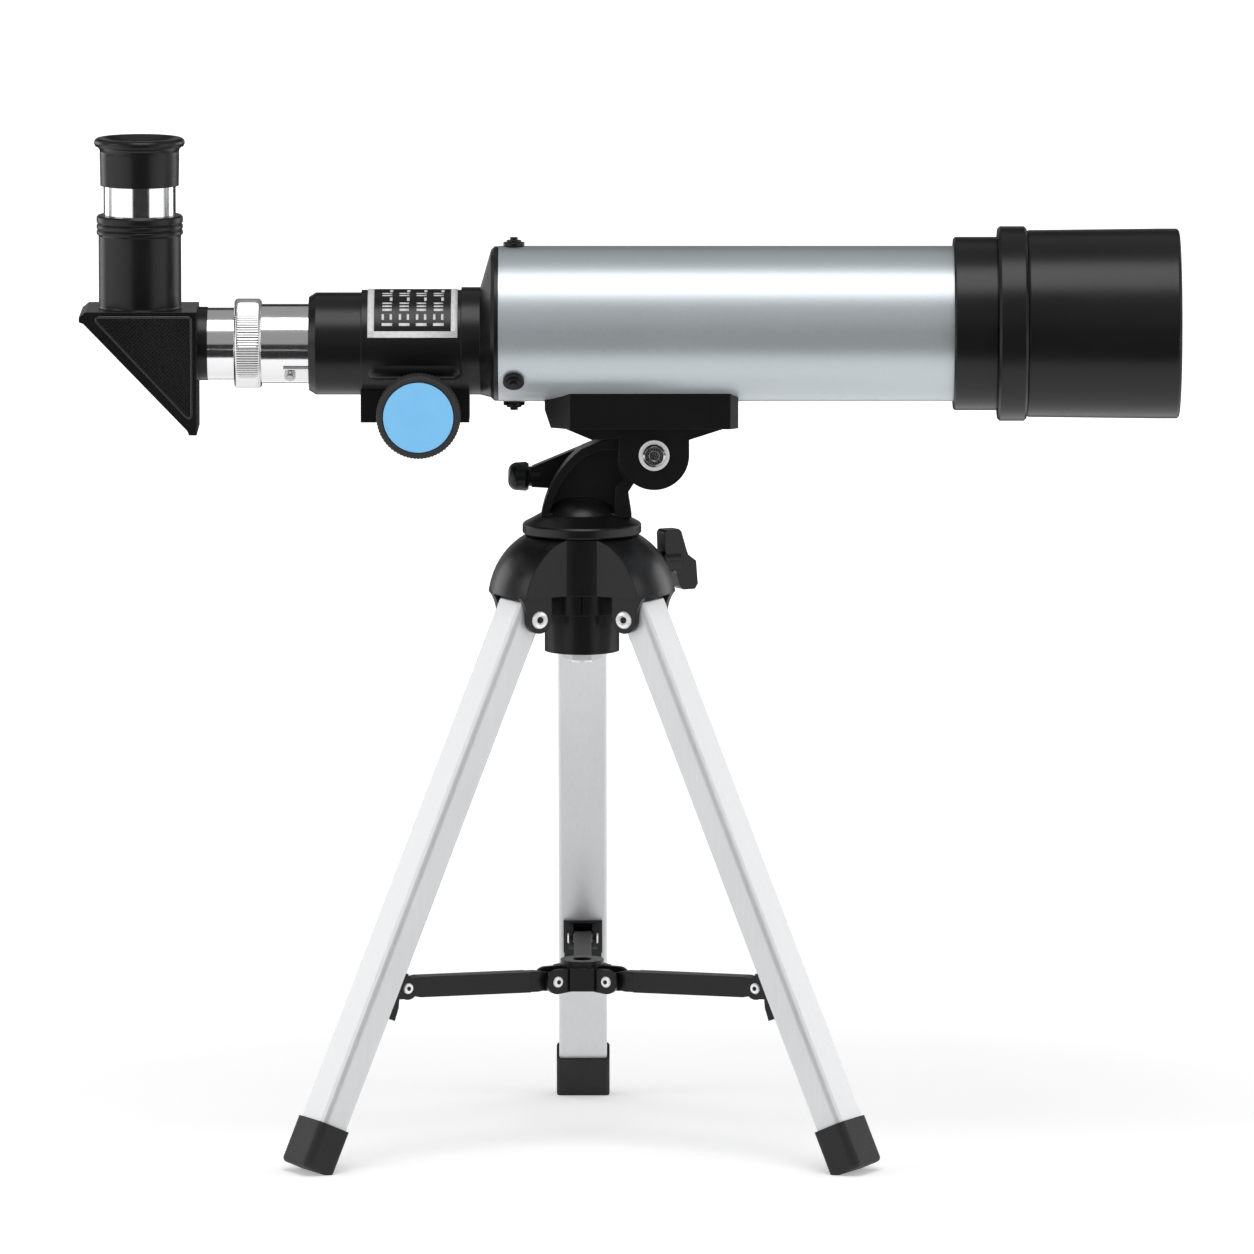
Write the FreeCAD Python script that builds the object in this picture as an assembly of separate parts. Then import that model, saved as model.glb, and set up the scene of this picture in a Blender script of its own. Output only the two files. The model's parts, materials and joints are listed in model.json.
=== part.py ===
"""Small refracting telescope on a folding table tripod. Millimetres, +Z up.

+X runs along the optical tube towards the objective, and +Y away from the focus knob's own side.
Everything is drawn about the tripod's pan axis, on the floor, and moved at the end so that the
origin is on the floor under the middle of the whole object's outline.
"""
import FreeCAD
import Part
import math
import os
from FreeCAD import Vector

X, Y, Z = Vector(1, 0, 0), Vector(0, 1, 0), Vector(0, 0, 1)
TOUCH = 0.3          # gap between pieces of different bodies that pass each other
RUN = 0.06           # radial clearance of a running fit

# ---- optical tube
TUBE_Z = 282.5       # height of the tube's axis
TUBE_R = 26.4
TUBE_WALL = 1.2
TUBE_X0, TUBE_X1 = -28.2, 143.0
TUBE_BORE = TUBE_R - TUBE_WALL

# ---- lens cell and hood at the front
CELL_X0, CELL_X1 = 125.8, 150.6
CELL_R, COLLAR_R = 29.4, 33.0
COLLAR_X = 140.8
HOOD_X1 = 202.4
HOOD_R0, HOOD_R1 = 31.7, 32.2
HOOD_BORE = 29.8
GLASS_R = 25.6
GLASS_X = 144.4      # back of the lens pair

# ---- focuser
DRAW_Z = 275.7       # the focuser's axis lies below the tube's axis
DRAW_R, DRAW_BORE = 13.5, 12.3
DRAW_X0, DRAW_X1 = -116.6, -12.0
HOUSING_X0 = -92.5
HOUSING_STEPS = ((-92.5, 17.35), (-74.6, 17.8), (-40.8, 18.25), (-34.4, 18.25))
HOUSING_FLOOR = DRAW_Z - 17.35
LABEL_TURNS = (11, 109)          # degrees up from the near side
PLUG_X1 = -14.0
SCREW_X = -23.0      # ring of screws that holds the housing in the tube
SCREW_TURNS = (90, 270, 220, 320)

# ---- rack and pinion
PINION_X, PINION_Z = -55.1, 253.7
MODULE, TEETH = 0.75, 20
PITCH_R = MODULE * TEETH / 2
RACK_LINE = PINION_Z + PITCH_R
RACK_X0, RACK_X1 = -88.0, -13.0
RACK_HALF = 2.4
SHAFT_R = 1.5
COVER_HALF = 9.5
KNOB_R, KNOB_Y0, KNOB_Y1 = 14.3, 17.1, 29.1

# ---- eyepiece holder and eyepiece
BARREL_R = 12.22
PRISM_X = -130.2     # upright face of the diagonal's case
PRISM_TOP, PRISM_FOOT = 288.1, 246.2
PRISM_TIP = -169.9
PRISM_HALF = 16.5
EYE_X = -149.7       # axis of the eyepiece
HOLDER_R, HOLDER_TOP = 14.0, 319.5
EYE_Z0, EYE_Z1 = 329.6, 345.7
EYE_STOP = 304.0     # shoulder in the holder that the eyepiece's barrel rests on

# ---- cradle, tilt and pan head
TILT_X, TILT_Z = 24.5, 238.7
CRADLE_X0, CRADLE_X1 = -12.6, 53.0
CRADLE_HALF, CRADLE_Z = 14.0, 248.0
EAR_IN, EAR_OUT, EAR_R = 7.5, 10.0, 11.9
TILT_BOLT_R = 3.0
DISC_Z, DISC_R = 211.0, 20.2
PAN_BOLT_R = 4.0

# ---- crown and legs
CROWN_BASE, CROWN_R = 191.5, 31.9
HOOD_HALF = 13.0
CORE_R, CORE_Z = 12.7, 170.8
PIVOT_R, PIVOT_Z = 22.7, 183.8
SPLAY = 24.2         # degrees from the vertical, legs open
LEG_TURNS = {"left": 210, "right": 330, "back": 90}
LEG_WIDE, LEG_DEEP, LEG_WALL = 16.6, 9.8, 1.2
LEG_OUT = 2.5        # the tube's middle stands this far outside its pivot
LEG_TOP, LEG_END = -6.5, 198.7
FOOT_LEN, FOOT_WALL = 16.4, 0.95
SOLE = 2.6           # thickness of the foot under the end of its leg
SOLE_ROUND = 1.6
LEG_RIVET_R = 2.0

# ---- brace
HUB_R, HUB_Z = 12.2, 58.1
BRACKET_S, BRACKET_U = 132.0, -6.9
ARM_HALF, ARM_TALL = 3.0, 7.0
TONGUE_HALF, TONGUE_R = 2.0, 2.6
ARM_END_R = 2.5
BRACE_PIN_R = 1.5
BRACE_SLACK = 0.1    # lets the arms swing through their straight position

PARTS = {}


def keep(name, *solids):
    """Files solids under a node's name."""
    found = [s for shape in solids for s in shape.Solids]
    PARTS[name] = found[0] if len(found) == 1 else Part.makeCompound(found)


def spot(x, y, z):
    return Vector(x, y, z)


def wire_of(points, place):
    """Closed wire through points. A pair of points in the list is an arc through the first to the second."""
    start = last = place(points[0])
    edges = []
    for item in list(points[1:]) + [points[0]]:
        if isinstance(item[0], tuple):
            mid, end = place(item[0]), place(item[1])
            edges.append(Part.Arc(last, mid, end).toShape())
            last = end
        else:
            end = place(item)
            if (end - last).Length > 1e-6:
                edges.append(Part.LineSegment(last, end).toShape())
            last = end
    return Part.Wire(edges)


def lathe(axis, centre, points):
    """Solid of revolution about axis through centre. Points are (distance along the axis, radius)."""
    out = X if axis.z or axis.y else Z
    wire = wire_of(points, lambda p: centre + axis * p[0] + out * p[1])
    return Part.Face(wire).revolve(centre, axis, 360)


def rod(axis, centre, radius, start, end):
    return Part.makeCylinder(radius, end - start, centre + axis * start, axis)


def tube(axis, centre, outer, inner, start, end):
    return rod(axis, centre, outer, start, end).cut(rod(axis, centre, inner, start - 1, end + 1))


def ball_cap(axis, centre, at, radius, rise, sign):
    """The cap of a ball that stands rise below a round face at the distance at, or above it if sign is -1."""
    ball = (radius ** 2 + rise ** 2) / (2 * rise)
    sphere = Part.makeSphere(ball, centre + axis * (at + sign * (ball - rise)))
    start, end = sorted((at, at - sign * (rise + 1)))
    return sphere.common(rod(axis, centre, radius, start, end))


def slab(points, y0, y1):
    """An outline in the XZ plane, drawn out from y0 to y1."""
    face = Part.Face(wire_of(points, lambda p: Vector(p[0], y0, p[1])))
    return face.extrude(Vector(0, y1 - y0, 0))


def plan(points, z0, z1):
    """An outline in the XY plane, drawn up from z0 to z1."""
    face = Part.Face(wire_of(points, lambda p: Vector(p[0], p[1], z0)))
    return face.extrude(Vector(0, 0, z1 - z0))


def block(x0, x1, y0, y1, z0, z1):
    return Part.makeBox(x1 - x0, y1 - y0, z1 - z0, Vector(x0, y0, z0))


def rounded(shape, radius, test):
    """Rounds the straight edges that test picks, given each edge's middle and direction."""
    edges = []
    for e in shape.Edges:
        if len(e.Vertexes) == 2 and isinstance(e.Curve, Part.Line):
            a, b = e.Vertexes[0].Point, e.Vertexes[1].Point
            if test((a + b) * 0.5, (b - a).normalize()):
                edges.append(e)
    return shape.makeFillet(radius, edges)


def both_sides(shape):
    return [shape, shape.mirror(Vector(0, 0, 0), Y)]


def swung(shape, name):
    """Carries a shape drawn in the radial plane, +X outwards, round to the named leg."""
    out = shape.copy()
    out.rotate(Vector(0, 0, 0), Z, LEG_TURNS[name])
    return out


def on_leg(shape, name):
    """Carries a shape drawn about the leg's pivot, with the leg hanging straight down, to its open place."""
    out = shape.copy()
    out.rotate(Vector(0, 0, 0), Y, -SPLAY)
    out.translate(Vector(PIVOT_R, 0, PIVOT_Z))
    return swung(out, name)


def leg_point(s, u):
    """Radius and height of the point s down the leg and u outwards from its pivot."""
    a = math.radians(SPLAY)
    return PIVOT_R + s * math.sin(a) + u * math.cos(a), PIVOT_Z - s * math.cos(a) + u * math.sin(a)


# ------------------------------------------------------------------ optical tube
def optical_tube():
    axis = spot(0, 0, TUBE_Z)
    shell = tube(X, axis, TUBE_R, TUBE_BORE, TUBE_X0, TUBE_X1)
    for turn in SCREW_TURNS:
        shell = shell.cut(radial_rod(turn, 1.6, 20, 30))
    for x in CRADLE_SCREWS_X:
        shell = shell.cut(rod(Z, spot(x, 0, 0), 2.0, TUBE_Z - 30, TUBE_Z - 20))
    keep("main_tube", shell)
    cell = lathe(X, axis, [
        (CELL_X0, CELL_R - 0.6), (CELL_X0 + 0.6, CELL_R), (COLLAR_X - 0.4, CELL_R),
        (COLLAR_X - 0.4, CELL_R - 0.5),
        (COLLAR_X, CELL_R - 0.5), (COLLAR_X, COLLAR_R - 0.8), (COLLAR_X + 0.8, COLLAR_R),
        (CELL_X1 - 0.8, COLLAR_R), (CELL_X1, COLLAR_R - 0.8), (CELL_X1, HOOD_R0 - 1.2),
        (CELL_X1 + 6, HOOD_R0 - 1.2),
        (CELL_X1 + 6, GLASS_R + 2.4), (CELL_X1 + 0.2, GLASS_R), (GLASS_X, GLASS_R), (GLASS_X, GLASS_R - 1.8),
        (TUBE_X1, GLASS_R - 1.8), (TUBE_X1, TUBE_R), (CELL_X0, TUBE_R)])
    keep("lens_cell", cell)
    hood = lathe(X, axis, [
        (CELL_X1, HOOD_R0 - 1.2), (CELL_X1, HOOD_R0 - 0.3), (CELL_X1 + 0.9, HOOD_R0), (195.0, HOOD_R1),
        (HOOD_X1 - 1.2, HOOD_R1), ((HOOD_X1 - 0.35, HOOD_R1 - 0.35), (HOOD_X1, HOOD_R1 - 1.2)),
        (HOOD_X1, HOOD_BORE + 0.5), (HOOD_X1 - 0.5, HOOD_BORE), (CELL_X1 + 6.1, HOOD_BORE),
        (CELL_X1 + 6.1, HOOD_R0 - 1.2)])
    keep("lens_hood", hood)
    x = GLASS_X
    flint = rod(X, axis, GLASS_R, x, x + 3.2).cut(ball_cap(X, axis, x + 3.2, GLASS_R, 2.0, 1))
    crown = rod(X, axis, GLASS_R, x + 3.7, x + 5.2)
    crown = crown.fuse([ball_cap(X, axis, x + 3.7, GLASS_R, 1.8, 1),
                        ball_cap(X, axis, x + 5.2, GLASS_R, 2.9, -1)])
    keep("objective_rear_lens", flint)
    keep("objective_front_lens", crown)
    keep("lens_spacer", tube(X, axis, GLASS_R, GLASS_R - 1.0, x + 3.2, x + 3.45))
    keep("lens_retaining_ring", lathe(X, axis, [
        (x + 5.6, GLASS_R), (x + 5.6, GLASS_R - 1.6), (x + 6.4, GLASS_R - 1.6), (x + 6.4, GLASS_R)]))
    keep("tube_baffle", tube(X, axis, TUBE_BORE, 17.0, 62.0, 63.2))


def radial_rod(turn, radius, start, end, x=SCREW_X):
    """A rod through the tube's wall, turn degrees round the tube's axis, start and end measured from the axis."""
    a = math.radians(turn)
    out = Vector(0, math.cos(a), math.sin(a))
    return Part.makeCylinder(radius, end - start, Vector(x, 0, TUBE_Z) + out * start, out)


CRADLE_SCREWS_X = (6.0, 44.0)


def housing_screws():
    """Button-head screws round the back of the tube."""
    made = []
    for turn in SCREW_TURNS:
        screw = radial_rod(turn, 1.5, TUBE_BORE - 2.1, TUBE_R + 0.2)
        screw = screw.fuse(radial_rod(turn, 3.6, TUBE_R + 0.12, TUBE_R + 1.3))
        screw = screw.fuse(radial_rod(turn, 2.5, TUBE_R + 1.2, TUBE_R + 2.0))
        made.append(screw.fuse(radial_rod(turn, 1.3, TUBE_R + 1.9, TUBE_R + 3.0)))
    keep("housing_screws", *made)


# ------------------------------------------------------------------ focuser
def focuser_housing():
    centre = spot(0, 0, DRAW_Z)
    barrel = None
    for (x0, r), (x1, _) in zip(HOUSING_STEPS, HOUSING_STEPS[1:]):
        step = rod(X, spot(0, 0, HOUSING_FLOOR + r), r, x0, x1)
        if x0 == HOUSING_X0:
            step = lathe(X, centre, [(x0, 0), (x0, r - 1.5), (x0 + 2.4, r), (x1, r), (x1, 0)])
        barrel = step if barrel is None else barrel.fuse(step)
    last_x, last_r = HOUSING_STEPS[-1]
    small = Part.Wire(Part.makeCircle(last_r, spot(last_x - 0.02, 0, HOUSING_FLOOR + last_r), X))
    wide = Part.Wire(Part.makeCircle(TUBE_R - 1.4, spot(TUBE_X0 - 2.6, 0, TUBE_Z), X))
    cone = Part.makeLoft([small, wide], True)
    rim = lathe(X, spot(0, 0, TUBE_Z), [
        (TUBE_X0 - 2.6, 0), (TUBE_X0 - 2.6, TUBE_R - 1.4), (TUBE_X0 - 1.4, TUBE_R - 0.2),
        (TUBE_X0, TUBE_R - 0.2),
        (TUBE_X0, TUBE_BORE), (PLUG_X1, TUBE_BORE), (PLUG_X1, 0)])
    swelling = Part.makeCylinder(3.6, 26.0, spot(-69.5, -13.4, DRAW_Z - 7.2), X)
    ends = [Part.makeSphere(3.6, spot(x, -13.4, DRAW_Z - 7.2)) for x in (-69.5, -43.5)]
    body = barrel.fuse([cone, rim, swelling] + ends)
    body = body.cut(rod(X, spot(0, 0, TUBE_Z), TUBE_BORE - 2.2, TUBE_X0 + 2.0, PLUG_X1 + 1))
    body = body.cut(rod(X, centre, DRAW_R + RUN, HOUSING_X0 - 1, TUBE_X0 + 3))
    # slot under the bore for the rack, and the keyway low on the near side
    body = body.cut(block(HOUSING_X0 - 1, PLUG_X1 + 1, -RACK_HALF - TOUCH, RACK_HALF + TOUCH, DRAW_Z - 24,
                          DRAW_Z))
    body = body.cut(key_strip(DRAW_R - 1, DRAW_R + 1.0 + TOUCH, 2.3 + TOUCH, HOUSING_X0 - 1, TUBE_X0 + 2.5))
    body = body.cut(rod(Y, spot(PINION_X, 0, PINION_Z), PITCH_R + MODULE + 0.5, -3.9, 3.9))
    for turn in SCREW_TURNS:
        body = body.cut(radial_rod(turn, 1.5, TUBE_BORE - 4, TUBE_R + 1))
    for x in COVER_SCREWS_X:
        body = body.cut(rod(Z, spot(x, 6.4, 0), 1.3, 255, 263.5))
    keep("focuser_housing", body)


KEY_TURN = 220       # the key sits low on the near side of the drawtube
COVER_SCREWS_X = (-71.6, -41.4)


def key_strip(inner, outer, half, x0, x1):
    """A strip along the drawtube between two radii, at the key's place round the axis."""
    strip = block(x0, x1, -half, half, inner, outer)
    strip.rotate(Vector(0, 0, 0), X, KEY_TURN - 90)
    strip.translate(spot(0, 0, DRAW_Z))
    return strip


def pinion_cover():
    """Bearing block under the housing, with the pinion's own rounded well below it."""
    low = PINION_Z - 3.9
    body = block(-74.9, -38.1, -COVER_HALF, COVER_HALF, low, DRAW_Z - 10)
    body = body.fuse(rod(Y, spot(PINION_X, 0, PINION_Z), 10.4, -COVER_HALF, COVER_HALF))
    widest = HOUSING_STEPS[-1][1]
    body = body.cut(rod(X, spot(0, 0, HOUSING_FLOOR + widest), widest, -80, -34))
    body = body.cut(rod(Y, spot(PINION_X, 0, PINION_Z), PITCH_R + MODULE + 0.5, -3.9, 3.9))
    body = body.cut(rod(Y, spot(PINION_X, 0, PINION_Z), SHAFT_R + RUN, -20, 20))
    body = body.cut(block(-76, -37, -RACK_HALF - TOUCH, RACK_HALF + TOUCH, RACK_LINE - MODULE - TOUCH, 270))
    for x in COVER_SCREWS_X:
        body = body.cut(rod(Z, spot(x, 6.4, 0), 1.3, 240, 263.5))
    keep("pinion_cover", max(body.Solids, key=lambda s: s.Volume))
    screws = []
    for x in COVER_SCREWS_X:
        shank = rod(Z, spot(x, 6.4, 0), 1.3, low, 262.5)
        screws.append(shank.fuse(rod(Z, spot(x, 6.4, 0), 2.4, low - 1.3, low)))
    keep("cover_screws", *screws)


def involute_gear():
    """Spur gear on the shaft's axis, with involute flanks and a little backlash."""
    base = PITCH_R * math.cos(math.radians(20))
    tip, root = PITCH_R + MODULE, PITCH_R - 1.2 * MODULE
    lead = math.tan(math.radians(20)) - math.radians(20)
    half = math.pi / (2 * TEETH) - 0.05 / PITCH_R
    flank = []
    for i in range(6):
        r = base + (tip - base) * i / 5
        roll = math.sqrt(max(0.0, (r / base) ** 2 - 1))
        flank.append((r, half + lead - (roll - math.atan(roll))))
    points = []
    for tooth in range(TEETH):
        mid = 2 * math.pi * tooth / TEETH
        side = [(root, flank[0][1])] + flank
        points += [(r, mid - a) for r, a in side] + [(r, mid + a) for r, a in reversed(side)]
    outline = [(PINION_X + r * math.cos(a), PINION_Z + r * math.sin(a)) for r, a in points]
    return slab(outline, -3.4, 3.4)


def pinion_set():
    centre = spot(PINION_X, 0, PINION_Z)
    keep("pinion_shaft", rod(Y, centre, SHAFT_R, -KNOB_Y1 + 2.2, KNOB_Y1 - 2.2))
    keep("focus_pinion", involute_gear().cut(rod(Y, centre, SHAFT_R, -5, 5)))
    for side, sign in (("near", -1), ("far", 1)):
        knob = lathe(Y * sign, centre, [
            (KNOB_Y0, SHAFT_R), (KNOB_Y0, KNOB_R - 2.4), (KNOB_Y0 + 1.6, KNOB_R - 0.8),
            (KNOB_Y0 + 2.2, KNOB_R),
            (KNOB_Y1 - 0.9, KNOB_R), (KNOB_Y1, KNOB_R - 0.9), (KNOB_Y1, KNOB_R - 1.9),
            (KNOB_Y1 - 0.8, KNOB_R - 2.4),
            (KNOB_Y1 - 0.8, 0), (KNOB_Y1 - 2.2, 0), (KNOB_Y1 - 2.2, SHAFT_R)])
        keep("focus_knob_" + side, knob)
        keep("knob_cap_" + side, lathe(Y * sign, centre, [
            (KNOB_Y1 - 0.8, 0), (KNOB_Y1 - 0.8, KNOB_R - 2.45), (KNOB_Y1 - 0.25, KNOB_R - 2.45),
            (KNOB_Y1 - 0.15, KNOB_R - 2.6), (KNOB_Y1 - 0.15, 0)]))


def rack():
    """Straight rack let into the bottom of the drawtube, teeth down."""
    pitch = math.pi * MODULE
    slope = math.tan(math.radians(20))
    tip, root = RACK_LINE - MODULE, RACK_LINE + 1.2 * MODULE
    half_tip = pitch / 4 - MODULE * slope - 0.03
    half_root = pitch / 4 + 1.2 * MODULE * slope - 0.03
    first = math.ceil((RACK_X0 + 1.5 - PINION_X) / pitch - 0.5)
    last = math.floor((RACK_X1 - 1.5 - PINION_X) / pitch - 0.5)
    points = [(RACK_X0, DRAW_Z - DRAW_BORE - 0.6), (RACK_X0, root)]
    for n in range(first, last + 1):
        mid = PINION_X + (n + 0.5) * pitch
        points += [(mid - half_root, root), (mid - half_tip, tip), (mid + half_tip, tip),
                   (mid + half_root, root)]
    points += [(RACK_X1, root), (RACK_X1, DRAW_Z - DRAW_BORE - 0.6)]
    return slab(points, -RACK_HALF, RACK_HALF)


def drawtube():
    centre = spot(0, 0, DRAW_Z)
    body = tube(X, centre, DRAW_R, DRAW_BORE, DRAW_X0, DRAW_X1)
    bar = rack()
    body = body.cut(block(RACK_X0, RACK_X1, -RACK_HALF, RACK_HALF, DRAW_Z - 20, DRAW_Z - DRAW_BORE - 0.6))
    key = key_strip(DRAW_R - 0.5, DRAW_R + 1.0, 2.3, KEY_X0, KEY_X0 + 62)
    screw_axis = key_screw_rod(1.2, DRAW_R - 0.8, DRAW_R + 2)
    keep("drawtube_key", key.cut(screw_axis))
    body = body.cut(key_strip(DRAW_R - 0.5, DRAW_R + 3, 2.3, KEY_X0, KEY_X0 + 62)).cut(screw_axis)
    keep("drawtube", body)
    keep("focus_rack", bar)
    head = key_screw_rod(1.9, DRAW_R + 1.0, DRAW_R + 2.2).fuse(key_screw_rod(1.3, DRAW_R + 2.1, DRAW_R + 2.8))
    keep("key_screw", key_screw_rod(1.2, DRAW_R - 0.8, DRAW_R + 1.1).fuse(head))
    keep("clamp_collar", lathe(X, centre, [
        (-117.7, BARREL_R + 0.25), (-117.7, 14.6), (-117.2, 15.2), (-109.0, 15.2), (-108.5, 14.6),
        (-108.5, DRAW_R + RUN), (DRAW_X0 - TOUCH, DRAW_R + RUN), (DRAW_X0 - TOUCH, BARREL_R + 0.25)]))


KEY_X0 = -101.0


def key_screw_rod(radius, start, end):
    pin = Part.makeCylinder(radius, end - start, spot(KEY_X0 + 2.3, 0, start), Z)
    pin.rotate(Vector(0, 0, 0), X, KEY_TURN - 90)
    pin.translate(spot(0, 0, DRAW_Z))
    return pin


# ------------------------------------------------------------------ diagonal and eyepiece
def diagonal():
    outline = [(PRISM_X, PRISM_FOOT), (PRISM_X, PRISM_TOP), (PRISM_TIP + 2.2, PRISM_TOP),
               (PRISM_TIP, PRISM_TOP - 1.8),
               (PRISM_TIP, PRISM_TOP - 3.4), (PRISM_TIP + 1.5, PRISM_TOP - 4.0),
               (PRISM_X - 3.2, PRISM_FOOT + 1.5),
               (PRISM_X - 2.6, PRISM_FOOT)]
    case = slab(outline, -PRISM_HALF, PRISM_HALF)
    inset = [(PRISM_X - 3.2, PRISM_FOOT + 7.6), (PRISM_X - 3.2, PRISM_TOP - 3.2),
             (PRISM_TIP + 7.6, PRISM_TOP - 3.2)]
    for y0, y1 in ((-PRISM_HALF - 1, -PRISM_HALF + 0.6), (PRISM_HALF - 0.6, PRISM_HALF + 1)):
        case = case.cut(slab(inset, y0, y1))
    inner = [(PRISM_X - 2.0, PRISM_FOOT + 7.0), (PRISM_X - 2.0, PRISM_TOP - 2.0),
             (PRISM_TIP + 7.0, PRISM_TOP - 2.0)]
    case = case.cut(slab(inner, -PRISM_HALF + 2.4, PRISM_HALF - 2.4))
    up = spot(EYE_X, 0, 0)
    holder = lathe(Z, up, [
        (PRISM_TOP - 0.5, 0), (PRISM_TOP - 0.5, HOLDER_R + 0.4), (PRISM_TOP + 0.5, HOLDER_R),
        (312.6, HOLDER_R),
        (313.2, 14.65), (314.2, 14.65), (314.6, 14.2), (315.2, 14.65), (316.2, 14.65), (316.6, 14.2),
        (317.2, 14.65), (HOLDER_TOP - 0.6, 14.65), (HOLDER_TOP, 14.1), (HOLDER_TOP, 0)])
    neck = rod(X, spot(0, 0, DRAW_Z), 12.5, PRISM_X - 0.5, PRISM_X + 3.4)
    case = case.fuse([holder, neck])
    case = case.cut(rod(Z, up, BARREL_R + RUN, EYE_STOP - 0.2, HOLDER_TOP + 1))
    case = case.cut(rod(Z, up, 11.3, PRISM_TOP - 8, EYE_STOP))
    case = case.cut(rod(X, spot(0, 0, DRAW_Z), 10.9, EYE_X, PRISM_X + 5))
    keep("diagonal_case", max(case.Solids, key=lambda s: s.Volume))
    barrel = tube(X, spot(0, 0, DRAW_Z), BARREL_R, 10.9, PRISM_X + 3.4, -104.0)
    keep("diagonal_barrel", barrel)
    face = [(EYE_X + 14, DRAW_Z - 14), (EYE_X - 9.2, DRAW_Z + 9.2), (EYE_X - 10.6, DRAW_Z + 7.8),
            (EYE_X + 12.6, DRAW_Z - 15.4)]
    keep("diagonal_mirror", slab(face, -12.5, 12.5).common(slab(inner, -PRISM_HALF, PRISM_HALF)))


def eyepiece():
    up = spot(EYE_X, 0, 0)
    keep("eyepiece_barrel", tube(Z, up, BARREL_R, 11.2, EYE_STOP, EYE_Z0 + 4))
    body = lathe(Z, up, [
        (EYE_Z0, BARREL_R), (EYE_Z0, 13.3), (EYE_Z0 + 11.0, 13.5),
        ((EYE_Z0 + 12.6, 13.8), (EYE_Z0 + 13.4, 15.0)),
        (EYE_Z1 - 2.0, 15.3), ((EYE_Z1 - 0.5, 15.0), (EYE_Z1, 14.1)), (EYE_Z1, 12.4),
        ((EYE_Z1 - 1.4, 8.6), (EYE_Z1 - 3.0, 3.2)),
        (EYE_Z1 - 4.4, 3.2), (EYE_Z1 - 4.4, 7.5), (EYE_Z0 + 4, 9.0), (EYE_Z0 + 4, BARREL_R)])
    keep("eyepiece_body", body)
    top = EYE_Z1 - 3.4
    keep("eye_lens", rod(Z, up, 3.2, top - 1, top).fuse(ball_cap(Z, up, top, 3.2, 0.5, -1)))
    keep("field_lens", rod(Z, up, 11.2, 306.0, 307.6).fuse(ball_cap(Z, up, 307.6, 11.2, 2.2, -1)))


# ------------------------------------------------------------------ cradle and head
def cradle():
    shape = plan([(CRADLE_X0, -8), (-4.0, -CRADLE_HALF), (50.3, -CRADLE_HALF), (CRADLE_X1, -11),
                  (CRADLE_X1, 11), (50.3, CRADLE_HALF), (-4.0, CRADLE_HALF), (CRADLE_X0, 8)], CRADLE_Z, 263)
    shape = shape.cut(slab([(CRADLE_X0 - 1, 247), (CRADLE_X0 + 2.4, 247), (CRADLE_X0, 254),
                            (CRADLE_X0 - 1, 254)], -15, 15))
    shape = shape.cut(plan([(CRADLE_X0 + 2.5, -7), (-3.0, -11.5), (49.6, -11.5), (50.6, -10),
                            (50.6, 10), (49.6, 11.5), (-3.0, 11.5), (CRADLE_X0 + 2.5, 7)], 247, 252.6))
    ear = slab([(-8.0, 252.7), (-8.0, 248.9), (-4.7, 247.3), (3.4, 243.9), (TILT_X - EAR_R, 244.4),
                (TILT_X - EAR_R, TILT_Z),
                ((TILT_X, TILT_Z - EAR_R), (TILT_X + EAR_R, TILT_Z)), (TILT_X + EAR_R, 243.9), (49.7, 248.2),
                (49.7, 252.7)],
               EAR_IN, EAR_OUT)
    shape = shape.fuse(both_sides(ear))
    shape = shape.cut(rod(X, spot(0, 0, TUBE_Z), TUBE_R, -40, 80))
    shape = shape.cut(rod(Y, spot(TILT_X, 0, TILT_Z), TILT_BOLT_R + RUN, -20, 20))
    for x in CRADLE_SCREWS_X:
        shape = shape.cut(rod(Z, spot(x, 0, 0), 1.9, 240, 262))
    keep("cradle", shape)
    screws = []
    for x in CRADLE_SCREWS_X:
        shank = rod(Z, spot(x, 0, 0), 1.9, 252.7, TUBE_Z - TUBE_BORE + 0.4)
        screws.append(shank.fuse(rod(Z, spot(x, 0, 0), 3.4, TUBE_Z - TUBE_BORE + 0.3,
                                     TUBE_Z - TUBE_BORE + 2.2)))
    keep("cradle_screws", *screws)


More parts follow.
